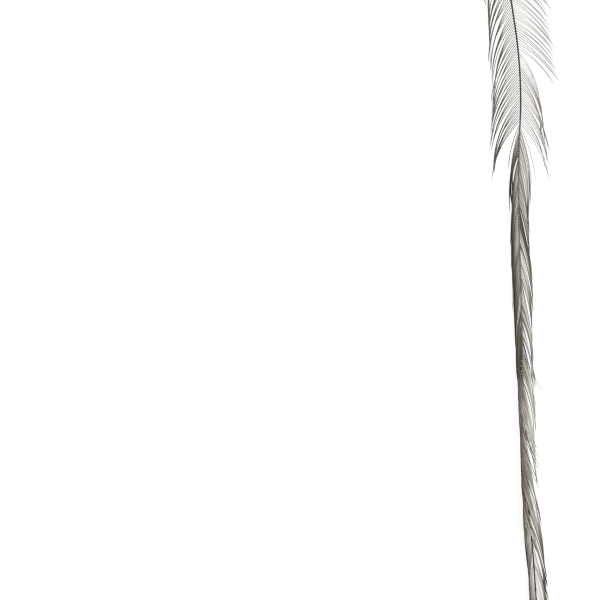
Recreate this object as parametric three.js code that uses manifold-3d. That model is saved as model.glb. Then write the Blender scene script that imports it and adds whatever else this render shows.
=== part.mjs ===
// Dry fly hackle: one slender rooster feather, lying on a flat surface with its tip towards -Y.
// The barbs of its upper part stand out from the shaft, and those of its lower part lie folded along it.
// A feather grows as one piece, so the shaft and the locks that its barbs part into are one solid.
// Millimetres, +Z up. The origin lies on the surface, under the middle of the feather.

import * as THREE from "three";
import { mergeVertices } from "three/addons/utils/BufferGeometryUtils.js";
import Module from "manifold-3d";

const { degToRad, lerp, smoothstep } = THREE.MathUtils;

// The shaft's centreline seen from above, from the butt of the quill to the last barbs.
const SHAFT_LINE = [
  [-4.6, 80],
  [-2.6, 65],
  [-0.3, 50],
  [0.8, 42],
  [1.15, 35],
  [0.9, 27.5],
  [0.85, 18.5],
  [1.2, 6.5],
  [1.45, -6],
  [1.58, -17],
  [2.27, -26],
  [2.86, -31.5],
  [3.5, -40],
  [4.5, -55],
  [5.1, -68],
  [5.3, -78.8],
];
const QUILL_LENGTH = 9; // the bare butt, which lies flat on the surface
const QUILL_RADIUS = 0.36;
const RACHIS_RADIUS = 0.14; // where the vane is
const RACHIS_NARROWS_OVER = 14;
const TIP_RADIUS_SHARE = 0.6;
const SHAFT_SIDES = 8;
const SHAFT_STEPS = 64;

// How high the shaft stands on its barbs between the quill and the tip.
const SHAFT_LIFT = 1.55;
const LIFT_FULL_AT = 34;
const LIFT_FALLS_FROM = 112;

// Where the vane parts into locks, as distances along the shaft from the butt.
const LEFT_PARTINGS = [
  9, 13, 17, 21.5, 26, 30.5, 34, 37.5, 41.5, 45, 48.7, 54.4, 58, 62, 67.5, 73, 78, 83, 87, 92, 97, 102,
  107, 112, 116.5, 121, 125.5, 130, 134.5, 139, 143.5, 148, 153.5, 158.5,
];
const RIGHT_PARTINGS = [
  9, 13.5, 18, 22, 26, 30, 34, 37.9, 43.2, 47, 49.4, 54, 56.3, 62, 67.2, 72.9, 79.2, 81.5, 87.8, 94.5,
  100.5, 106.8, 110.6, 117, 121.5, 126, 130.5, 135, 139.5, 144, 148.5, 153.5, 158.5,
];

// How barbs lie along the shaft. Each row has a distance from the butt, the barbs' root and tip angles from
// the shaft in degrees and their length seen from above, and all change evenly between rows. Barbs next to
// the quill are the longest, and from about 49 on they are folded.
const LEFT_LIES = [
  [9, 46, 6, 11.6],
  [22.5, 46, -6, 10.75],
  [26, 46, 1, 10.75],
  [32, 46, 9, 10.75],
  [48.7, 45, 8, 10.5],
  [48.8, 13, 0, 10.5],
  [66, 13, 0, 10],
  [83, 9, 0, 10],
  [100, 7, 0, 9.5],
  [108, 12, 0, 9.5],
  [125, 12, 0.5, 8.5],
  [159, 10, 2, 3.9],
];
const RIGHT_LIES = [
  [9, 48, 16, 11],
  [22, 51, 25, 9.5],
  [30, 52, 26, 8.8],
  [37.8, 52, 26, 8.5],
  [37.9, 36, -7, 10.2],
  [43.1, 40, -3, 10.2],
  [43.2, 45, 3, 10],
  [49.3, 48, 12, 10],
  [49.4, 16, 4, 10.3],
  [90, 16, 4, 10],
  [120, 16, 4, 9],
  [159, 14, 3, 3.9],
];
const DROP_EASE = 1.3; // how a barb comes down from the shaft to its tip on the surface

const LOCK_THICKNESS_SHARE = 0.62; // of the shaft's thickness at the lock's root
const LOCK_TIP_THICKNESS = 0.09;
const LOCK_ROOT_FILL = 0.95; // of the shaft between two partings
const LOCK_TIP_FILL = 0.12;
const LOCK_CLOSES_FROM = 0.35; // share of the length where a lock starts to draw to its point
const LOCK_STEPS = 8;
const CORNER_TURN = Math.PI / 4; // turns a four-sided section so that its flats face up and down
const SHORTEST_EDGE = 0.006; // shorter ones close up where pieces are joined

const FEATHER_COLOUR = 0x76716a;

const wasm = await Module();
wasm.setup();

const shaftCurve = new THREE.CatmullRomCurve3(SHAFT_LINE.map(([x, y]) => new THREE.Vector3(x, y, 0)));
const shaftLength = shaftCurve.getLength();

function shaftRadius(along) {
  const radius = RACHIS_RADIUS + (QUILL_RADIUS - RACHIS_RADIUS) * Math.exp(-along / RACHIS_NARROWS_OVER);
  return radius * lerp(1, TIP_RADIUS_SHARE, along / shaftLength);
}

function shaftHeight(along) {
  const flatUnderside = shaftRadius(along) * Math.cos(Math.PI / SHAFT_SIDES);
  const rise = smoothstep(along, QUILL_LENGTH, LIFT_FULL_AT);
  const fall = smoothstep(along, LIFT_FALLS_FROM, shaftLength);
  return flatUnderside + SHAFT_LIFT * rise * (1 - fall);
}

function shaftPoint(along) {
  const point = shaftCurve.getPointAt(Math.min(along / shaftLength, 1));
  return point.setZ(shaftHeight(along));
}

// Bends a closed cylinder along a path. section(t) gives the two half extents there, as vectors across
// the path.
function sweep(sides, steps, turn, pathPoint, section) {
  const geometry = new THREE.CylinderGeometry(1, 1, 1, sides, steps, false, turn);
  const position = geometry.getAttribute("position");
  for (let i = 0; i < position.count; i++) {
    const t = position.getY(i) + 0.5;
    const { across, up } = section(t);
    const bent = pathPoint(t);
    bent.addScaledVector(across, position.getX(i)).addScaledVector(up, position.getZ(i));
    position.setXYZ(i, bent.x, bent.y, bent.z);
  }
  return geometry;
}

// A closed geometry as a solid that can be joined to others.
function solidOf(geometry) {
  const bare = geometry.clone();
  bare.deleteAttribute("normal");
  bare.deleteAttribute("uv");
  const welded = mergeVertices(bare);
  return new wasm.Manifold(
    new wasm.Mesh({
      numProp: 3,
      vertProperties: welded.getAttribute("position").array,
      triVerts: new Uint32Array(welded.index.array),
      tolerance: SHORTEST_EDGE,
    }),
  );
}

function geometryOf(solid) {
  const mesh = solid.getMesh();
  const geometry = new THREE.BufferGeometry();
  geometry.setAttribute("position", new THREE.BufferAttribute(mesh.vertProperties, 3));
  geometry.setIndex(new THREE.BufferAttribute(mesh.triVerts, 1));
  geometry.computeVertexNormals();
  return geometry;
}

// The quill and the rachis in one rod, round in section with a flat underside.
function shaft() {
  const across = (t) => {
    const tangent = shaftCurve.getTangentAt(t);
    return new THREE.Vector3(-tangent.y, tangent.x, 0);
  };
  return sweep(
    SHAFT_SIDES,
    SHAFT_STEPS,
    Math.PI / SHAFT_SIDES,
    (t) => shaftPoint(t * shaftLength),
    (t) => {
      const radius = shaftRadius(t * shaftLength);
      return {
        across: across(t).multiplyScalar(radius),
        up: new THREE.Vector3(0, 0, -radius),
      };
    },
  );
}

// One lock of barbs: a thin blade that leaves the shaft between two partings and draws to a point.
function lock(sign, lies, from, to) {
  const middle = (from + to) / 2;
  const root = shaftPoint(middle);
  const tangent = shaftCurve.getTangentAt(middle / shaftLength);
  const outward = new THREE.Vector3(-tangent.y, tangent.x, 0).multiplyScalar(sign);
  const [rootAngle, tipAngle, length] = lies.evaluate(middle);
  const rootThickness = LOCK_THICKNESS_SHARE * 2 * shaftRadius(middle);
  const drop = LOCK_TIP_THICKNESS / 2 - root.z;

  const points = [];
  const plan = root.clone();
  for (let i = 0; i <= LOCK_STEPS; i++) {
    const t = i / LOCK_STEPS;
    points.push(plan.clone().setZ(root.z + drop * t ** DROP_EASE));
    const angle = degToRad(lerp(rootAngle, tipAngle, t + 0.5 / LOCK_STEPS));
    const step = length / LOCK_STEPS;
    plan.addScaledVector(tangent, Math.cos(angle) * step).addScaledVector(outward, Math.sin(angle) * step);
  }

  const halfRoot = ((to - from) / 2) * LOCK_ROOT_FILL;
  return sweep(
    4,
    LOCK_STEPS,
    CORNER_TURN,
    (t) => points[Math.round(t * LOCK_STEPS)].clone(),
    (t) => {
      const i = Math.round(t * LOCK_STEPS);
      const forward = points[Math.min(i + 1, LOCK_STEPS)].clone().sub(points[Math.max(i - 1, 0)]);
      const fill = lerp(1, LOCK_TIP_FILL, smoothstep(t, LOCK_CLOSES_FROM, 1));
      const across = tangent.clone().multiplyScalar(sign);
      const up = across.clone().cross(forward).normalize();
      const halfThickness = lerp(rootThickness, LOCK_TIP_THICKNESS, t) / 2;
      return {
        across: across.multiplyScalar(halfRoot * fill * Math.SQRT2),
        up: up.multiplyScalar(halfThickness * Math.SQRT2),
      };
    },
  );
}

function vane(sign, partings, rows) {
  const places = rows.map(([place]) => place);
  const lies = new THREE.LinearInterpolant(places, rows.flatMap((row) => row.slice(1)), 3);
  return partings.slice(0, -1).map((from, i) => lock(sign, lies, from, partings[i + 1]));
}

const pieces = [
  shaft(),
  ...vane(-1, LEFT_PARTINGS, LEFT_LIES),
  ...vane(1, RIGHT_PARTINGS, RIGHT_LIES),
];
const joined = pieces.map(solidOf).reduce((whole, piece) => whole.add(piece));

const feather = new THREE.Mesh(
  geometryOf(joined),
  new THREE.MeshStandardMaterial({ color: FEATHER_COLOUR, roughness: 0.5, metalness: 0 }),
);
feather.name = "feather";

const group = new THREE.Group();
group.add(feather);

export default group;
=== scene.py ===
import math
from dataclasses import astuple, dataclass, replace

import bmesh
import bpy
import numpy as np
from bpy.props import FloatProperty, FloatVectorProperty, IntProperty, PointerProperty
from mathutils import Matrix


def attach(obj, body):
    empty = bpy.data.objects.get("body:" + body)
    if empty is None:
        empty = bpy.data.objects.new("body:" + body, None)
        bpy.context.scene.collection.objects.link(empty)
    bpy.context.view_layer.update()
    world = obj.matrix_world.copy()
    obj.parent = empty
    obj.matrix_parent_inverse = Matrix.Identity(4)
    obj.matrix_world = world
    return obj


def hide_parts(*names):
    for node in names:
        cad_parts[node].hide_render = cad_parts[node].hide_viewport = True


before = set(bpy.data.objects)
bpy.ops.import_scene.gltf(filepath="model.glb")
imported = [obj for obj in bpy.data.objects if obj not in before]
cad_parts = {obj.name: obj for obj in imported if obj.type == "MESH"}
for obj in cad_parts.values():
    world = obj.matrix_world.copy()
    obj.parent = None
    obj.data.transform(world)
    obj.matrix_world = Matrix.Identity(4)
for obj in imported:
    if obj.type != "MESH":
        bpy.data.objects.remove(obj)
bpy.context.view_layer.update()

bl_info = {
    "name": "Dry Fly Hackle",
    "version": (1, 0, 0),
    "blender": (4, 5, 0),
    "location": "View3D > Sidebar > Hackle",
    "description": "Dresses a hackle feather with its shaft and its barbs",
    "category": "Add Mesh",
}

MM = 0.001
UP = np.array((0.0, 0.0, 1.0))
WHITE = (1, 1, 1, 1)

# The shaft's centreline seen from above, from the butt of the quill to the last barbs, in millimetres.
SHAFT_LINE = (
    (-4.6, 80),
    (-2.6, 65),
    (-0.3, 50),
    (0.8, 42),
    (1.15, 35),
    (0.9, 27.5),
    (0.85, 18.5),
    (1.2, 6.5),
    (1.45, -6),
    (1.58, -17),
    (2.27, -26),
    (2.86, -31.5),
    (3.5, -40),
    (4.5, -55),
    (5.1, -68),
    (5.3, -78.8),
)
QUILL_LENGTH = 9 * MM
QUILL_PALE_SHARE = 0.5  # of the quill, before its pale horn starts to darken
RACHIS_NARROWS_OVER = 10 * MM
TIP_RADIUS_SHARE = 0.6
BUTT_ROUNDING = 0.9 * MM
BUTT_ROUNDED_TO = 0.8  # of a half round, where the butt's flat end cuts it off
PALE_FROM = (46 * MM, 52 * MM)  # where the folded part's shaft turns paler
PALE_TO = (101 * MM, 107 * MM)  # and where it turns dark again
BEADS_STRIKING_AT = 83.6 * MM  # where the pale beads show most
BEADS_STRIKING_OVER = 3.2 * MM
BEADS_STRIKING = 2  # times their contrast elsewhere
BEAD_CUTS = 6  # rings of points that shape one bead
SHAFT_SIDES = 10
DIRECTION_REACH = 0.2 * MM  # over which the shaft's direction is taken, both ways

# How high the shaft stands on its barbs between the quill and the tip.
SHAFT_LIFT = 1.55 * MM
LIFT_FULL_AT = 34 * MM
LIFT_FALLS_FROM = 112 * MM

BARB_STEPS = 18
BARB_SIDES = 4
BARB_SHARES = np.linspace(0, 1, BARB_STEPS + 1)  # of a barb's length, at its steps
DROP_EASE = 1.3  # how a barb comes down from the shaft to its tip
TIP_THICKNESS_SHARE = 0.4
POINTED_SHARE = 0.2  # of a barb's length, over which it draws to its point
BLUNT_SHARE = 0.06  # of that stretch, at the very tip
ROOT_TONE_FADES = (0.12, 0.5)  # shares of a barb's length
TIP_TONE_GROWS = (0.42, 0.74)
BESIDE_PARTING = 0.9  # millimetres from a parting within which barbs are darker
MIDDLE_COLOUR_TONE = 0.2  # the tone that has the middle colour
KERATIN_SPECULAR = 0.15
PIGMENT_DETAIL = 3

# Each barb has its own cell of the UV map. The sizes are shares of a cell.
UV_NAME = "OFBake"
UV_COLUMNS = 28
UV_MARGIN = 0.08
END_WIDTH = 0.2
END_HEIGHT = 0.05

# How barbs stick together in strands, and how far strands, and barbs within one, differ.
STRAND_SIZES = (2, 4)  # fewest and most barbs
STRAND_DRAWS = (0.08, 0.5)  # shares of a barb's length over which its strand draws together
LOOSE_FROM = 52  # sum of the root and tip angles above which strands lie freely
FOLDED_DRAW = 0.4  # how far the barbs of a folded strand draw together, as a share of free ones
PLACE_JITTER = 0.06  # of the spacing
STRAND_LIFTS = (-0.05, 0.2)  # millimetres at the tip
STRAND_TURN = 0.9  # degrees at the tip
BARB_TURN = 0.7
STRAND_REACHES = (0.9, 1.03)  # shares of the length
BARB_REACHES = (0.97, 1.02)
STRAND_SHADE = 0.2  # spread of a shade's logarithm
BARB_SHADE = 0.26
FOLDED_CONTRAST = 1.7  # how strongly shades differ where barbs are folded
FREE_CONTRAST = 0.85

FLOOR_DROP = 0.02 * MM  # keeps the floor clear of what lies on it
FLOOR_GREY = 0.14
KEY_SIZE = 0.6  # metres
KEY_PLACE = (0.45, 0.1, 0.6)
KEY_TILT = math.radians(37)
PICTURE_MIDDLE = (-31.9 * MM, 5 * MM)  # under the camera, which looks straight down
CAMERA_SEES_TO = 100
PIXEL_FILTER = 1.2


@dataclass(frozen=True)
class Lie:
    """How barbs lie at one place: millimetres from the butt and the floor, and degrees from the shaft."""

    place: float
    root_angle: float
    tip_angle: float
    tip_height: float
    length: float
    bend: float = 1  # above 1, most of the turn is near the root
    arch: float = 0  # how far the middle stands above a straight way down


@dataclass(frozen=True)
class Look:
    """How wide barbs are at one place, as shares of the barb width, and tones from dark, 0, to pale, 1. The
    tones hold the barbs' own dun colour and, where the vane is folded, also painted shade where barbs lie
    in overlapping layers and painted light where they lie in one layer.
    """

    place: float
    root_width: float
    tip_width: float
    root_tone: float
    middle_tone: float
    tip_tone: float


@dataclass(frozen=True)
class Side:
    """One side of the vane."""

    name: str
    sign: int
    closing: tuple  # least and most that the barbs of a strand draw together
    strays: tuple  # pairs of the lie and the look of one loose barb
    partings: tuple  # rows of a place, how far barbs turn from it at root and tip, and their shade there
    lies: tuple
    looks: tuple


LEFT = Side(
    name="left",
    sign=-1,
    closing=(0.3, 0.8),
    strays=tuple(
        (Lie(place, root, tip, 1.2, 10, bend=5, arch=0.5), Look(place, 1.4, 0.9, 0.1, 0.26, 0.24))
        for place, root, tip in (
            (88.6, 36, -23),
            (89.8, 35, -24),
            (90.9, 33, -24),
            (91.8, 31, -22.5),
            (92.9, 28, -21),
            (93.7, 26, -22),
            (94.5, 26, -22),
        )
    ),
    partings=(
        (9, 0, 0, 0.6), (13, 0, 3, 0.6), (17, 0, 3, 0.6), (21.5, 0, 3, 0.6), (26, 0, 2, 0.6),
        (30.5, 0, 2, 0.6), (34, 0, 2, 0.6), (37.5, 0, 2, 0.6), (41.5, 0, 2, 0.6), (45, 2, 3, 0.6),
        (48.7, 0, 0, 0.8),
        (51.3, 0, 0, 0.6), (53, 0, 0, 0.4), (58, 0, 1, 0.4), (62, 0.3, 0, 0.7), (67.5, 0.3, 0, 0.7),
        (73, 0.3, 0, 0.7), (78, 0.3, 0, 0.7), (83, 0.3, 0, 0.7), (87, 0, 0, 1), (104.8, 0, 0, 1),
        (108, 0, 0, 0.8), (112, 0.5, 0, 0.7), (116.5, 0.5, 0, 0.7), (121, 1, -1, 0.6),
        (125.5, 1, -1, 0.6), (130, 1, -1, 0.6), (134.5, 1, -1, 0.6), (139, 1, -1, 0.6), (143.5, 1, -1, 0.6),
        (148, 1, -1, 0.6), (153.5, 1, 0, 0.6), (158.5, 0, 0, 1),
    ),
    lies=(
        Lie(9, 46, 6, 0.05, 11.6),
        Lie(16, 46, 0, 0.05, 11),
        Lie(22.5, 46, -6, 0.05, 10.75),
        Lie(26, 46, 1, 0.05, 10.75),
        Lie(32, 46, 9, 0.05, 10.75),
        Lie(41.5, 47, 9, 0.05, 10.75),
        Lie(48.7, 43, 0, 0.05, 10.8),
        Lie(48.8, 24, 0, 0.1, 7),
        Lie(49.2, 24, 0, 0.1, 7),
        Lie(49.3, 15, -6, 0.1, 11.2),
        Lie(50.7, 15, -6.3, 0.1, 12.2),
        Lie(50.9, 17, -11.5, 0.1, 10.8),
        Lie(51.9, 18, -11.5, 0.1, 10.8),
        Lie(52.1, 26.5, -11.5, 0.1, 10, bend=2),
        Lie(53.7, 28, -14, 0.1, 10, bend=2),
        Lie(53.9, 15.5, -8, 0.1, 10.3),
        Lie(55, 14.5, -0.5, 0.1, 10.3, bend=1.6),
        Lie(56.5, 13, 0, 0.1, 10.3, bend=1.3),
        Lie(58, 12.2, 0, 0.1, 10.2),
        Lie(62, 12.7, 0, 0.1, 10),
        Lie(66, 14.4, 0, 0.1, 10),
        Lie(70, 13.2, 0, 0.15, 10),
        Lie(74, 11.5, 0, 0.2, 10),
        Lie(77, 11.5, -1, 0.5, 10),
        Lie(82, 40, -12, 1.1, 10, bend=5, arch=0.4),
        Lie(85.5, 44, -13, 1.2, 10, bend=5, arch=0.5),
        Lie(89.5, 36, -12.5, 1.2, 10, bend=5, arch=0.5),
        Lie(94, 26, -12.5, 1.2, 10, bend=5, arch=0.5),
        Lie(97.8, 32, -14.5, 1.2, 10, bend=5, arch=0.5),
        Lie(101.5, 40, -13, 1.2, 10, bend=5, arch=0.4),
        Lie(104, 40, -12, 1.2, 9.8, bend=5, arch=0.4),
        Lie(105, 37, -4, 0.8, 9.5, bend=4, arch=0.2),
        Lie(107, 27, -2, 0.5, 9.5, bend=3),
        Lie(109, 12.8, 0, 0.3, 9.5),
        Lie(112, 13.6, 0, 0.3, 9.3),
        Lie(125, 12, 0.5, 0.2, 8.5),
        Lie(159, 10, 2, 0.05, 3.9),
    ),
    # From 49.3 on, where the barbs are folded, the dark tones are partly painted shade of their overlapping
    # layers, darkest towards the outer edge.
    looks=(
        Look(9, 0.9, 0.5, 0.4, 0.35, 0.35),
        Look(26, 1.12, 1.15, 0.38, 0.15, 0.34),
        Look(36, 1.12, 1.1, 0.36, 0.13, 0.3),
        Look(42, 1, 1.05, 0.22, 0.11, 0.28),
        Look(49.2, 1, 1.05, 0.18, 0.1, 0.26),
        Look(49.3, 1.7, 1.1, 0.56, 0.14, 0.03),
        Look(59.5, 1.7, 1.1, 0.5, 0.13, 0.03),
        Look(66, 1.7, 1.1, 0.66, 0.18, 0.04),
        Look(74, 1.7, 1.1, 0.5, 0.18, 0.06),
        Look(79, 2, 1.2, 0.24, 0.16, 0.12),
        Look(83, 2.5, 1.3, 0.04, 0.09, 0.5),
        Look(89, 2.2, 1.3, 0.02, 0.16, 0.6),
        Look(94, 1.9, 1.3, 0, 0.18, 0.42),
        Look(104.4, 1.9, 1.3, 0, 0.2, 0.32),
        Look(106.4, 1.7, 1.1, 0.95, 0.24, 0.1),
        Look(159, 1.5, 0.8, 0.6, 0.4, 0.2),
    ),
)
RIGHT = Side(
    name="right",
    sign=1,
    closing=(0.15, 0.65),
    strays=((Lie(83.1, 26, 27, 0.9, 7.6), Look(83.1, 0.6, 0.6, 0.3, 0.3, 0.3)),),
    partings=(
        (9, 0, 0, 0.6), (13.5, 0, 3, 0.6), (18, 0, 3, 0.6), (22, 0, 3, 0.6), (26, 0, 1, 0.6),
        (30, 0, 1, 0.6), (34, 0, 1, 0.6), (37.9, 0, 0, 0.6), (41.6, 1.2, 2.5, 0.4),
        (43.2, 0.5, 1, 0.5), (45.2, 0, 1.5, 0.5), (47.4, 0, 2, 0.5), (49.4, 0, 0, 0.8),
        (54.8, 2.6, -3.4, 0.5), (57, 1, -1, 0.5), (61.1, 2.8, -5.2, 0.6), (67.2, 2.2, -2.2, 0.5),
        (72.3, 3.9, -5, 0.5), (78.3, 7.5, -8.5, 0.6), (81, 7.5, -7, 0.6), (87.8, 3.8, -3.4, 0.5),
        (94.5, 3.9, -1, 0.5), (100.5, 2, 0, 0.4), (106.8, 1.4, -1.4, 0.4), (109, 3, -3, 0.5),
        (111.3, 7.5, -13, 0.25), (115, 5, -7.5, 0.7), (120.5, 2, -2, 0.6), (126, 2.5, -2.5, 0.6),
        (130.5, 2, -2, 0.6), (135, 2.5, -2.5, 0.6), (139.5, 2, -2, 0.6), (144, 2, -2, 0.6),
        (148.5, 2, -2, 0.6), (153.5, 1, -1, 0.6), (158.5, 0, 0, 1),
    ),
    lies=(
        Lie(9, 48, 16, 0.05, 11),
        Lie(22, 51, 25, 0.05, 9.5),
        Lie(30, 52, 26, 0.05, 8.8),
        Lie(37.8, 52, 26, 0.05, 8.5),
        Lie(37.9, 36, -7, 0.05, 10.2),
        Lie(43.1, 40, -3, 0.05, 10.2),
        Lie(43.2, 45, 3, 0.05, 10),
        Lie(49.3, 48, 12, 0.05, 10),
        Lie(49.4, 24, 8, 0.2, 8.5),
        Lie(49.8, 23, 8, 0.2, 8.5),
        Lie(49.9, 23, 1, 0.4, 10.3),
        Lie(51, 22, 1, 0.4, 10.3),
        Lie(52.4, 18.5, 1, 0.4, 10.3),
        Lie(55, 17, 1, 0.4, 10.2),
        Lie(57, 16, 4.4, 0.4, 10.2),
        Lie(62, 16, 5, 0.4, 10),
        Lie(67, 16.5, 5, 0.4, 10),
        Lie(70, 15, 3, 0.4, 10),
        Lie(75, 15.6, 3.4, 0.4, 10),
        Lie(79, 20, 4, 0.4, 10, bend=1.6),
        Lie(81, 23, 3, 0.4, 10, bend=2),
        Lie(85, 23, 4, 0.4, 10, bend=2),
        Lie(89, 17.5, 5, 0.4, 10),
        Lie(93, 17, 6, 0.4, 10),
        Lie(97, 15, 5, 0.4, 9.8),
        Lie(102, 17.5, 6, 0.4, 9.7),
        Lie(108, 16, 4, 0.4, 9.6),
        Lie(111, 14, 3, 0.4, 9.4),
        Lie(114, 14.2, 2.8, 0.4, 9.3),
        Lie(120, 15.5, 4, 0.4, 9),
        Lie(159, 14, 3, 0.05, 3.9),
    ),
    # From 49.9 on, where the barbs are folded, the pale tones are partly painted light coming through barbs
    # that lie in one layer.
    looks=(
        Look(9, 0.8, 0.5, 0.4, 0.4, 0.4),
        Look(26, 1.12, 0.75, 0.74, 0.58, 0.44),
        Look(43, 1.12, 0.75, 0.74, 0.58, 0.44),
        Look(47, 0.8, 0.7, 0.28, 0.28, 0.26),
        Look(49.8, 0.8, 0.7, 0.28, 0.28, 0.26),
        Look(49.9, 1.8, 1.2, 0.58, 0.55, 0.12),
        Look(55, 1.8, 0.9, 0.58, 0.58, 0.06),
        Look(61, 1.8, 0.9, 0.58, 0.56, 0.1),
        Look(61.1, 1.6, 0.8, 0, 0, 0.05),
        Look(64.4, 1.6, 0.8, 0.06, 0.03, 0.08),
        Look(64.5, 1.8, 0.8, 0.64, 0.6, 0.2),
        Look(70, 1.8, 0.8, 0.6, 0.6, 0.16),
        Look(72.2, 1.8, 0.8, 0.6, 0.62, 0.2),
        Look(72.3, 1.8, 0.8, 0.28, 0.3, 0.2),
        Look(74.5, 1.8, 0.8, 0.36, 0.42, 0.26),
        Look(77, 1.8, 0.8, 0.46, 0.6, 0.34),
        Look(80.9, 2.1, 0.8, 0.5, 0.8, 0.45),
        Look(81, 2.2, 0.8, 0, 0.3, 0.6),
        Look(82, 2.2, 0.8, 0, 0.3, 0.6),
        Look(82.1, 2.2, 0.8, 0.44, 0.8, 0.65),
        Look(88, 1.8, 0.8, 0.44, 0.78, 0.72),
        Look(92, 1.8, 0.8, 0.44, 0.74, 0.68),
        Look(96, 1.8, 0.8, 0.38, 0.64, 0.44),
        Look(103, 1.8, 1.4, 0.54, 0.54, 0.14),
        Look(110, 1.8, 1.5, 0.56, 0.54, 0.1),
        Look(120, 1.8, 1.3, 0.62, 0.56, 0.12),
        Look(159, 1.5, 0.7, 0.6, 0.6, 0.3),
    ),
)


class ShaftSettings(bpy.types.PropertyGroup):
    """Sizes and colours of the quill and the rachis."""

    quill_radius: FloatProperty(
        name="Quill Radius", description="At the butt", default=0.36 * MM, unit="LENGTH"
    )
    rachis_radius: FloatProperty(
        name="Rachis Radius", description="Where the vane is", default=0.13 * MM, unit="LENGTH"
    )
    bead_share: FloatProperty(
        name="Bead Share",
        description="How far the shaft swells where barbs leave it, as a share of its radius",
        default=0.1,
        subtype="FACTOR",
    )
    folded_paleness: FloatProperty(
        name="Folded Paleness",
        description="How pale the folded part's shaft is, from the rachis's colour to the quill's",
        default=0.25,
        subtype="FACTOR",
    )
    bead_contrast: FloatProperty(
        name="Bead Contrast",
        description="How much paler the folded part's shaft is between the roots of its barbs",
        default=0.12,
        subtype="FACTOR",
    )
    quill_colour: FloatVectorProperty(
        name="Quill Colour",
        description="Horn of the bare butt",
        default=(0.42, 0.39, 0.33),
        subtype="COLOR",
    )
    rachis_colour: FloatVectorProperty(
        name="Rachis Colour",
        description="Shaft in the vane",
        default=(0.022, 0.017, 0.012),
        subtype="COLOR",
    )


class BarbSettings(bpy.types.PropertyGroup):
    """Sizes and colours of the barbs."""

    spacing: FloatProperty(
        name="Spacing", description="Between barbs along the shaft", default=0.39 * MM, unit="LENGTH"
    )
    width: FloatProperty(
        name="Width", description="Of a barb seen from above", default=0.09 * MM, unit="LENGTH"
    )
    height: FloatProperty(
        name="Height", description="Of a barb's section", default=0.07 * MM, unit="LENGTH"
    )
    seed: IntProperty(name="Seed", description="Of how the barbs part into strands", default=7)
    # The dark and light colours are the ends of the barbs' tones, so they also give the painted shade and
    # painted light of the folded vane.
    dark_colour: FloatVectorProperty(
        name="Dark Colour",
        description="Of the darkest barbs",
        default=(0.036, 0.025, 0.017),
        subtype="COLOR",
    )
    middle_colour: FloatVectorProperty(
        name="Middle Colour",
        description="Of the dun barbs",
        default=(0.145, 0.127, 0.1),
        subtype="COLOR",
    )
    light_colour: FloatVectorProperty(
        name="Light Colour",
        description="Of the palest barbs",
        default=(0.6, 0.585, 0.555),
        subtype="COLOR",
    )


class StageSettings(bpy.types.PropertyGroup):
    """The floor, the lights and the camera."""

    view_width: FloatProperty(
        name="View Width", description="Across the picture at the floor", default=90 * MM, unit="LENGTH"
    )
    lens: FloatProperty(name="Lens", description="Focal length in millimetres", default=400)
    floor_size: FloatProperty(
        name="Floor Size", description="Side of the floor", default=4, unit="LENGTH"
    )
    floor_glow: FloatProperty(
        name="Floor Glow", description="Light that the floor gives off", default=0.88
    )
    sky: FloatProperty(name="Sky", description="Strength of the even light", default=0.8)
    key_power: FloatProperty(
        name="Key Power", description="Of the large soft light", default=6, unit="POWER"
    )


def smoothstep(value, low, high):
    share = np.clip((value - low) / (high - low), 0, 1)
    return share * share * (3 - 2 * share)


def lerp(start, end, share):
    return start + (end - start) * share


def unit(vectors):
    """The same directions at length one."""
    return vectors / np.linalg.norm(vectors, axis=-1, keepdims=True)


def smooth_curve(points, steps=48):
    """Closely spaced points of a smooth curve through the given ones, and their distances along it."""
    knots = np.vstack([2 * points[0] - points[1], points, 2 * points[-1] - points[-2]])
    spans = np.sqrt(np.linalg.norm(np.diff(knots, axis=0), axis=1))
    share = np.linspace(0, 1, steps, endpoint=False)[:, None]
    pieces = []
    for i in range(1, len(knots) - 2):
        before, here, after, beyond = knots[i - 1 : i + 3]
        a, b, c = spans[i - 1 : i + 2]
        leave = b * ((here - before) / a - (after - before) / (a + b) + (after - here) / b)
        arrive = b * ((after - here) / b - (beyond - here) / (b + c) + (beyond - after) / c)
        cubic = 2 * (here - after) + leave + arrive
        square = 3 * (after - here) - 2 * leave - arrive
        pieces.append(((cubic * share + square) * share + leave) * share + here)
    curve = np.vstack([*pieces, points[-1:]])
    distances = np.linalg.norm(np.diff(curve, axis=0), axis=1)
    return curve, np.concatenate([[0], np.cumsum(distances)])


SHAFT_CURVE, SHAFT_DISTANCES = smooth_curve(np.array(SHAFT_LINE) * MM)
SHAFT_LENGTH = SHAFT_DISTANCES[-1]


def shaft_radius(along, settings):
    flare = (settings.quill_radius - settings.rachis_radius) * np.exp(-along / RACHIS_NARROWS_OVER)
    return (settings.rachis_radius + flare) * lerp(1, TIP_RADIUS_SHARE, along / SHAFT_LENGTH)


def lift_share(along):
    """How far the shaft has risen from the floor, from 0 at both its ends to 1."""
    rise = smoothstep(along, QUILL_LENGTH, LIFT_FULL_AT)
    fall = smoothstep(along, LIFT_FALLS_FROM, SHAFT_LENGTH)
    return rise * (1 - fall)


def plan_points(along):
    """Points of the shaft seen from above, at these distances from the butt."""
    return np.stack([np.interp(along, SHAFT_DISTANCES, axis) for axis in SHAFT_CURVE.T], axis=-1)


def shaft_points(along, settings):
    """Points on the shaft's centreline at these distances from the butt."""
    height = shaft_radius(along, settings) + SHAFT_LIFT * lift_share(along)
    return np.concatenate([plan_points(along), height[..., None]], axis=-1)


def shaft_directions(along):
    """Level directions along the shaft, towards the tip."""
    ahead = unit(plan_points(along + DIRECTION_REACH) - plan_points(along - DIRECTION_REACH))
    return np.concatenate([ahead, np.zeros_like(ahead[..., :1])], axis=-1)


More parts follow.
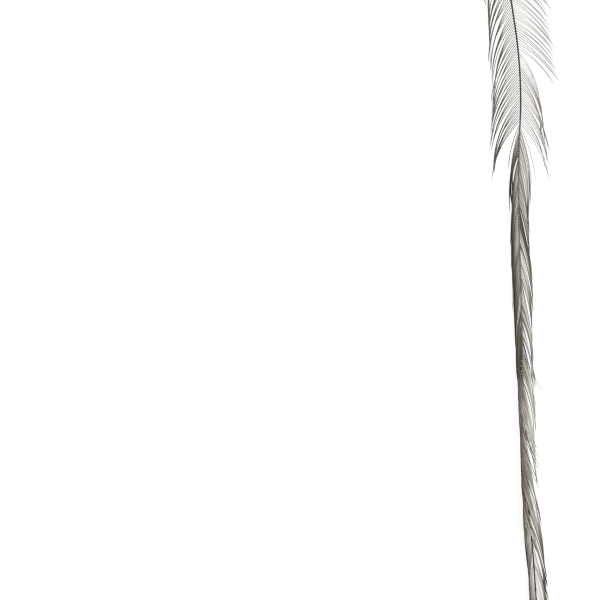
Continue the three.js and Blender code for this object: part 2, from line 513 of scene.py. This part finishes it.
@dataclass
class Barbs:
    """Barbs side by side, as arrays with one entry a barb, in metres and radians."""

    along: np.ndarray  # the root, from the butt
    lie: Lie
    look: Look
    strand_draw: np.ndarray  # how far the strand draws the tip along the shaft
    strand_lift: np.ndarray


def strand_numbers(count, rng):
    """Strand number of each barb in a lock of that many barbs."""
    sizes = []
    while sum(sizes) < count:
        sizes.append(rng.integers(*STRAND_SIZES, endpoint=True))
    return np.repeat(np.arange(len(sizes)), sizes)[:count]


def part_into_strands(place, lock, closing, rng):
    """Draw, lift, turn, shade and reach of each barb, which the barbs of a strand have in common."""
    draw, lift, turn, shade, reach = np.zeros((5, len(place)))
    for number in np.unique(lock):
        members = np.flatnonzero(lock == number)
        strand = strand_numbers(len(members), rng)
        for label in np.unique(strand):
            group = members[strand == label]
            draw[group] = (place[group].mean() - place[group]) * rng.uniform(*closing)
            lift[group] = rng.uniform(*STRAND_LIFTS)
            turn[group] = rng.normal(0, STRAND_TURN)
            shade[group] = rng.normal(0, STRAND_SHADE)
            reach[group] = rng.uniform(*STRAND_REACHES)
    return draw, lift, turn, shade, reach


def at_places(places, rows):
    """The lie or the look of barbs at these places, as arrays."""
    columns = np.array([astuple(row) for row in rows]).T
    return type(rows[0])(*(np.interp(places, columns[0], column) for column in columns))


def set_strays(place, lie, look, strays):
    """Gives the barb nearest to each stray's place the stray's own lie and look."""
    for stray in strays:
        loose = np.abs(place - stray[0].place).argmin()
        for rows, row in zip((lie, look), stray):
            for name, value in vars(row).items():
                getattr(rows, name)[loose] = value


def grow_barbs(side, settings, rng):
    """The barbs of one side, parted into locks and strands."""
    partings, root_opening, tip_opening, beside = np.array(side.partings).T
    spacing = settings.spacing / MM
    count = int((partings[-1] - partings[0]) / spacing)
    jitter = rng.uniform(-PLACE_JITTER, PLACE_JITTER, count)
    place = partings[0] + (np.arange(count) + 0.5 + jitter) * spacing
    lock = np.clip(np.searchsorted(partings, place, side="right") - 1, 0, len(partings) - 2)
    place_in_lock = (place - partings[lock]) / (partings[lock + 1] - partings[lock])
    draw, lift, turn, shade, reach = part_into_strands(place, lock, side.closing, rng)

    lie, look = at_places(place, side.lies), at_places(place, side.looks)
    set_strays(place, lie, look, side.strays)
    looseness = np.clip((lie.root_angle + lie.tip_angle) / LOOSE_FROM, 0, 1)
    turn = looseness * (turn + rng.normal(0, BARB_TURN, count))
    root_turn = lerp(-root_opening[lock], root_opening[lock + 1], place_in_lock)
    tip_turn = lerp(-tip_opening[lock], tip_opening[lock + 1], place_in_lock)
    contrast = lerp(FOLDED_CONTRAST, FREE_CONTRAST, looseness)
    shade = np.exp((shade + rng.normal(0, BARB_SHADE, count)) * contrast)
    to_parting = np.minimum(place - partings[lock], partings[lock + 1] - place)
    nearest = lock + (place_in_lock > 0.5)
    shade *= lerp(beside[nearest], 1, smoothstep(to_parting, 0, BESIDE_PARTING))

    lie = replace(
        lie,
        root_angle=np.radians(lie.root_angle + root_turn),
        tip_angle=np.radians(lie.tip_angle + tip_turn + turn),
        tip_height=lie.tip_height * MM,
        length=lie.length * MM * reach**looseness * rng.uniform(*BARB_REACHES, count),
        arch=lie.arch * MM,
    )
    look = replace(
        look,
        root_tone=np.clip(look.root_tone * shade, 0, 1),
        middle_tone=np.clip(look.middle_tone * shade, 0, 1),
        tip_tone=np.clip(look.tip_tone * shade, 0, 1),
    )
    draw *= lerp(FOLDED_DRAW, 1, looseness)
    return Barbs(along=place * MM, lie=lie, look=look, strand_draw=draw * MM, strand_lift=lift * MM)


def barb_paths(barbs, side, shaft):
    """Points along each barb from its root to its tip."""
    lie = barbs.lie
    middles = (BARB_SHARES[1:] + BARB_SHARES[:-1]) / 2
    turned = (1 - middles) ** lie.bend[:, None]
    angle = lerp(lie.tip_angle[:, None], lie.root_angle[:, None], turned)
    step = lie.length[:, None] / BARB_STEPS
    start = np.zeros((len(barbs.along), 1))
    ahead = np.hstack([start, np.cumsum(np.cos(angle) * step, axis=1)])
    out = np.hstack([start, np.cumsum(np.sin(angle) * step, axis=1)])
    ahead += barbs.strand_draw[:, None] * smoothstep(BARB_SHARES, *STRAND_DRAWS)

    root = shaft_points(barbs.along, shaft)
    along_shaft = shaft_directions(barbs.along)
    outward = np.cross(UP, along_shaft) * side.sign
    paths = root[:, None] + along_shaft[:, None] * ahead[..., None] + outward[:, None] * out[..., None]
    drop = lie.tip_height - root[:, 2]
    paths[..., 2] += drop[:, None] * BARB_SHARES**DROP_EASE + barbs.strand_lift[:, None] * BARB_SHARES
    paths[..., 2] += lie.arch[:, None] * np.sin(np.pi * BARB_SHARES)
    return paths


def upright_rod(sides, cuts):
    """A closed rod about the origin, of radius and length one, cut across so that it can bend."""
    bm = bmesh.new()
    bmesh.ops.create_cone(bm, cap_ends=True, segments=sides, radius1=1, radius2=1, depth=1)
    lengthwise = [edge for edge in bm.edges if edge.verts[0].co.z != edge.verts[1].co.z]
    bmesh.ops.subdivide_edges(bm, edges=lengthwise, cuts=cuts)
    bmesh.ops.recalc_face_normals(bm, faces=bm.faces)
    return bm


def unroll(bm, sides):
    """Gives an upright rod a UV map, with its walls side by side and its ends below them."""
    uv_map = bm.loops.layers.uv.new(UV_NAME)
    for face in bm.faces:
        middle = face.calc_center_median()
        turn = math.atan2(middle.y, middle.x) / math.tau % 1
        for loop in face.loops:
            x, y, z = loop.vert.co
            if abs(middle.z) == 0.5:
                u = END_WIDTH * (1 + x) / 2 + (0.5 if middle.z > 0 else 0)
                v = -END_HEIGHT * (1 + y) / 2
            else:
                further_round = middle.x * y > middle.y * x
                u = turn + (0.5 if further_round else -0.5) / sides
                v = z + 0.5
            loop[uv_map].uv = (u, v)


def repeat(bm, count):
    """Copies a piece in its place until there are that many of it, one after the other."""
    parts = bm.verts, bm.edges, bm.faces
    sizes = [len(part) for part in parts]
    made = 1
    while made < count:
        more = min(made, count - made)
        copied = [item for part, size in zip(parts, sizes) for item in part[: more * size]]
        bmesh.ops.duplicate(bm, geom=copied)
        made += more


def spread_uvs(mesh, count):
    """Gives each of a mesh's like pieces its own cell of the UV map."""
    uvs = mesh.uv_layers[UV_NAME].data
    cell = np.empty(2 * len(uvs))
    uvs.foreach_get("uv", cell)
    cell = UV_MARGIN + (1 - 2 * UV_MARGIN) * cell.reshape(count, -1, 2)
    rows = math.ceil(count / UV_COLUMNS)
    number = np.arange(count)
    corner = np.stack([number % UV_COLUMNS, number // UV_COLUMNS], axis=-1)[:, None]
    uvs.foreach_set("uv", ((corner + cell) / (UV_COLUMNS, rows)).ravel())


def barb_mesh(name, paths, half_width, half_height, tone):
    """A mesh of rods that are bent along the paths, and that carry their tone from root to tip."""
    bm = upright_rod(BARB_SIDES, BARB_STEPS - 1)
    unroll(bm, BARB_SIDES)
    upright = np.array([vert.co for vert in bm.verts])
    repeat(bm, len(paths))
    mesh = bpy.data.meshes.new(name)
    bm.to_mesh(mesh)
    bm.free()
    spread_uvs(mesh, len(paths))

    forward = unit(np.gradient(paths, axis=1))
    across = unit(np.cross(UP, forward))
    up = np.cross(forward, across)
    across, up = across * half_width[..., None], up * half_height[..., None]
    step = np.rint((upright[:, 2] + 0.5) * BARB_STEPS).astype(int)
    bent = paths[:, step] + across[:, step] * upright[:, :1] + up[:, step] * upright[:, 1:2]
    mesh.vertices.foreach_set("co", bent.ravel())
    mesh.update()
    mesh.shade_smooth()
    add_values(mesh, "tone", tone[:, step])
    return mesh


def add_values(mesh, name, values):
    """Gives each point of a mesh a value for its material to read."""
    attribute = mesh.attributes.new(name, "FLOAT", "POINT")
    attribute.data.foreach_set("value", np.ascontiguousarray(values).ravel())


def add_piece(name, mesh, material):
    """Puts a finished mesh into the scene as a piece of the feather."""
    mesh.materials.append(material)
    piece = bpy.data.objects.new(name, mesh)
    bpy.context.scene.collection.objects.link(piece)
    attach(piece, "root")
    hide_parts("feather")


def mottling_group():
    """Uneven pigment: a shade around one, from noise on Object coordinates."""
    name = "Uneven Pigment"
    if name in bpy.data.node_groups:
        return bpy.data.node_groups[name]
    group = bpy.data.node_groups.new(name, "ShaderNodeTree")
    for socket in ("Scale", "Amount"):
        group.interface.new_socket(name=socket, in_out="INPUT", socket_type="NodeSocketFloat")
    group.interface.new_socket(name="Shade", in_out="OUTPUT", socket_type="NodeSocketFloat")
    nodes, links = group.nodes, group.links
    inside, outside = nodes.new("NodeGroupInput"), nodes.new("NodeGroupOutput")
    place = nodes.new("ShaderNodeTexCoord")
    noise = nodes.new("ShaderNodeTexNoise")
    noise.inputs["Detail"].default_value = PIGMENT_DETAIL
    links.new(place.outputs["Object"], noise.inputs["Vector"])
    links.new(inside.outputs["Scale"], noise.inputs["Scale"])

    # The noise runs from 0 to 1, and the shade from 1 - Amount to 1 + Amount.
    centred = nodes.new("ShaderNodeMath")
    centred.operation = "MULTIPLY_ADD"
    centred.inputs[1].default_value = 2
    centred.inputs[2].default_value = -1
    links.new(noise.outputs["Fac"], centred.inputs[0])
    shade = nodes.new("ShaderNodeMath")
    shade.operation = "MULTIPLY_ADD"
    shade.inputs[2].default_value = 1
    links.new(centred.outputs[0], shade.inputs[0])
    links.new(inside.outputs["Amount"], shade.inputs[1])
    links.new(shade.outputs[0], outside.inputs["Shade"])
    return group


def keratin(name, attribute, colours, roughness, mottling_scale, mottling_amount):
    """Horn of a feather, coloured along a row of (place, colour) by a value that the mesh carries."""
    material = bpy.data.materials.new(name)
    material.use_nodes = True
    nodes, links = material.node_tree.nodes, material.node_tree.links
    shader = nodes["Principled BSDF"]
    shader.inputs["Roughness"].default_value = roughness
    shader.inputs["Specular IOR Level"].default_value = KERATIN_SPECULAR

    value = nodes.new("ShaderNodeAttribute")
    value.attribute_name = attribute
    colour = nodes.new("ShaderNodeValToRGB")
    stops = colour.color_ramp.elements
    while len(stops) < len(colours):
        stops.new(0.5)
    for stop, (place, shade) in zip(stops, colours):
        stop.position = place
        stop.color = (*shade, 1)
    links.new(value.outputs["Fac"], colour.inputs["Fac"])
    mottling = nodes.new("ShaderNodeGroup")
    mottling.node_tree = mottling_group()
    mottling.inputs["Scale"].default_value = mottling_scale
    mottling.inputs["Amount"].default_value = mottling_amount
    shaded = nodes.new("ShaderNodeVectorMath")
    shaded.operation = "SCALE"
    links.new(colour.outputs["Color"], shaded.inputs[0])
    links.new(mottling.outputs["Shade"], shaded.inputs["Scale"])
    links.new(shaded.outputs["Vector"], shader.inputs["Base Color"])
    return material


class HACKLE_OT_shaft(bpy.types.Operator):
    """Make the quill and the rachis"""

    bl_idname = "hackle.shaft"
    bl_label = "Shaft"

    def execute(self, context):
        settings = context.scene.hackle_shaft
        spacing = context.scene.hackle_barbs.spacing
        bm = upright_rod(SHAFT_SIDES, int(BEAD_CUTS * SHAFT_LENGTH / spacing))
        upright = np.array([vert.co for vert in bm.verts])
        along = (upright[:, 2] + 0.5) * SHAFT_LENGTH
        beads = np.sin(math.tau * along / spacing) * lift_share(along)
        places = self.bend(upright, along, beads, settings)
        for vert, place in zip(bm.verts, places):
            vert.co = place
        mesh = bpy.data.meshes.new("shaft")
        bm.to_mesh(mesh)
        bm.free()
        mesh.shade_smooth()
        add_values(mesh, "paleness", self.paleness(along, beads, settings))
        colours = (0, settings.rachis_colour), (1, settings.quill_colour)
        horn = keratin(
            "Shaft Horn", "paleness", colours, roughness=0.38, mottling_scale=1500, mottling_amount=0.2
        )
        add_piece("shaft", mesh, horn)
        return {"FINISHED"}

    def bend(self, upright, along, beads, settings):
        """Where the points of an upright rod lie on the beaded shaft."""
        rounding = np.sqrt(1 - np.clip(1 - along / BUTT_ROUNDING, 0, BUTT_ROUNDED_TO) ** 2)
        radius = shaft_radius(along, settings) * rounding * (1 + settings.bead_share * beads)
        outward = np.cross(UP, shaft_directions(along))
        from_middle = (outward * upright[:, :1] + UP * upright[:, 1:2]) * radius[:, None]
        return shaft_points(along, settings) + from_middle

    def paleness(self, along, beads, settings):
        """From 0, the rachis's colour, to 1, the quill's."""
        past_pale = np.clip(along - QUILL_PALE_SHARE * QUILL_LENGTH, 0, None)
        bare = np.exp(-past_pale / RACHIS_NARROWS_OVER)
        striking = 1 - smoothstep(np.abs(along - BEADS_STRIKING_AT), 0, BEADS_STRIKING_OVER)
        contrast = settings.bead_contrast * lerp(1, BEADS_STRIKING, striking)
        beaded = np.clip(settings.folded_paleness - contrast * beads, 0, 1)
        beaded *= smoothstep(along, *PALE_FROM) * (1 - smoothstep(along, *PALE_TO))
        return np.maximum(bare, beaded)


class HACKLE_OT_barbs(bpy.types.Operator):
    """Make the barbs on both sides of the shaft"""

    bl_idname = "hackle.barbs"
    bl_label = "Barbs"

    def execute(self, context):
        settings = context.scene.hackle_barbs
        shaft = context.scene.hackle_shaft
        rng = np.random.default_rng(settings.seed)
        colours = (
            (0, settings.dark_colour),
            (MIDDLE_COLOUR_TONE, settings.middle_colour),
            (1, settings.light_colour),
        )
        material = keratin(
            "Barb Keratin", "tone", colours, roughness=0.45, mottling_scale=700, mottling_amount=0.25
        )
        for side in (LEFT, RIGHT):
            barbs = grow_barbs(side, settings, rng)
            paths = barb_paths(barbs, side, shaft)
            look = {name: values[:, None] for name, values in vars(barbs.look).items()}
            point = np.sqrt(np.clip((1 - BARB_SHARES) / POINTED_SHARE, BLUNT_SHARE, 1))
            width = lerp(look["root_width"], look["tip_width"], BARB_SHARES) * point * settings.width
            height = lerp(1, TIP_THICKNESS_SHARE, BARB_SHARES) * np.ones_like(width) * settings.height
            paths[..., 2] = np.maximum(paths[..., 2], height / 2)
            # The tone is the barbs' own colour and, where they are folded, the painted shade and painted
            # light of their layers.
            middle_share = smoothstep(BARB_SHARES, *ROOT_TONE_FADES)
            tip_share = smoothstep(BARB_SHARES, *TIP_TONE_GROWS)
            tone = lerp(look["root_tone"], look["middle_tone"], middle_share)
            tone = lerp(tone, look["tip_tone"], tip_share)
            name = f"{side.name}_barbs"
            add_piece(name, barb_mesh(name, paths, width / 2, height / 2, tone), material)
        return {"FINISHED"}


class HACKLE_OT_stage(bpy.types.Operator):
    """Set the floor, the lights and the camera"""

    bl_idname = "hackle.stage"
    bl_label = "Stage"

    def execute(self, context):
        settings = context.scene.hackle_stage
        self.floor(settings)
        self.lights(context.scene, settings)
        self.camera(context.scene, settings)
        self.picture(context.scene)
        return {"FINISHED"}

    def floor(self, settings):
        bm = bmesh.new()
        bmesh.ops.create_grid(bm, x_segments=1, y_segments=1, size=settings.floor_size / 2)
        bmesh.ops.translate(bm, verts=bm.verts, vec=(0, 0, -FLOOR_DROP))
        mesh = bpy.data.meshes.new("floor")
        bm.to_mesh(mesh)
        bm.free()
        material = bpy.data.materials.new("White Floor")
        material.use_nodes = True
        shader = material.node_tree.nodes["Principled BSDF"]
        shader.inputs["Base Color"].default_value = (FLOOR_GREY, FLOOR_GREY, FLOOR_GREY, 1)
        shader.inputs["Roughness"].default_value = 1
        shader.inputs["Specular IOR Level"].default_value = 0
        shader.inputs["Emission Color"].default_value = WHITE
        shader.inputs["Emission Strength"].default_value = settings.floor_glow
        mesh.materials.append(material)
        piece = bpy.data.objects.new("floor", mesh)
        bpy.context.scene.collection.objects.link(piece)

    def lights(self, scene, settings):
        world = bpy.data.worlds.new("Studio")
        world.use_nodes = True
        sky = world.node_tree.nodes["Background"]
        sky.inputs["Color"].default_value = WHITE
        sky.inputs["Strength"].default_value = settings.sky
        scene.world = world

        data = bpy.data.lights.new("key", "AREA")
        data.shape = "SQUARE"
        data.size = KEY_SIZE
        data.energy = settings.key_power
        key = bpy.data.objects.new("key", data)
        key.location = KEY_PLACE
        key.rotation_euler = (0, KEY_TILT, 0)
        key.visible_camera = False
        scene.collection.objects.link(key)

    def camera(self, scene, settings):
        data = bpy.data.cameras.new("camera")
        data.lens = settings.lens
        data.clip_end = CAMERA_SEES_TO
        camera = bpy.data.objects.new("camera", data)
        distance = settings.view_width * settings.lens / data.sensor_width
        camera.location = (*PICTURE_MIDDLE, distance)
        scene.collection.objects.link(camera)
        scene.camera = camera

    def picture(self, scene):
        """Keeps white white, and barbs thinner than a pixel apart."""
        scene.view_settings.view_transform = "Standard"
        scene.cycles.use_denoising = False
        scene.cycles.filter_width = PIXEL_FILTER


class HACKLE_PT_panel(bpy.types.Panel):
    """Lists the feather's pieces and their settings"""

    bl_label = "Hackle"
    bl_idname = "HACKLE_PT_panel"
    bl_space_type = "VIEW_3D"
    bl_region_type = "UI"
    bl_category = "Hackle"

    def draw(self, context):
        for operator, settings in (
            (HACKLE_OT_shaft, context.scene.hackle_shaft),
            (HACKLE_OT_barbs, context.scene.hackle_barbs),
            (HACKLE_OT_stage, context.scene.hackle_stage),
        ):
            box = self.layout.box()
            box.operator(operator.bl_idname)
            for name in settings.__annotations__:
                box.prop(settings, name)


CLASSES = (
    ShaftSettings,
    BarbSettings,
    StageSettings,
    HACKLE_OT_shaft,
    HACKLE_OT_barbs,
    HACKLE_OT_stage,
    HACKLE_PT_panel,
)


def register():
    for cls in CLASSES:
        bpy.utils.register_class(cls)
    bpy.types.Scene.hackle_shaft = PointerProperty(type=ShaftSettings)
    bpy.types.Scene.hackle_barbs = PointerProperty(type=BarbSettings)
    bpy.types.Scene.hackle_stage = PointerProperty(type=StageSettings)


def unregister():
    for name in ("hackle_shaft", "hackle_barbs", "hackle_stage"):
        delattr(bpy.types.Scene, name)
    for cls in reversed(CLASSES):
        bpy.utils.unregister_class(cls)


def main():
    register()
    bpy.ops.hackle.stage()
    bpy.ops.hackle.shaft()
    bpy.ops.hackle.barbs()


if __name__ == "__main__":
    main()
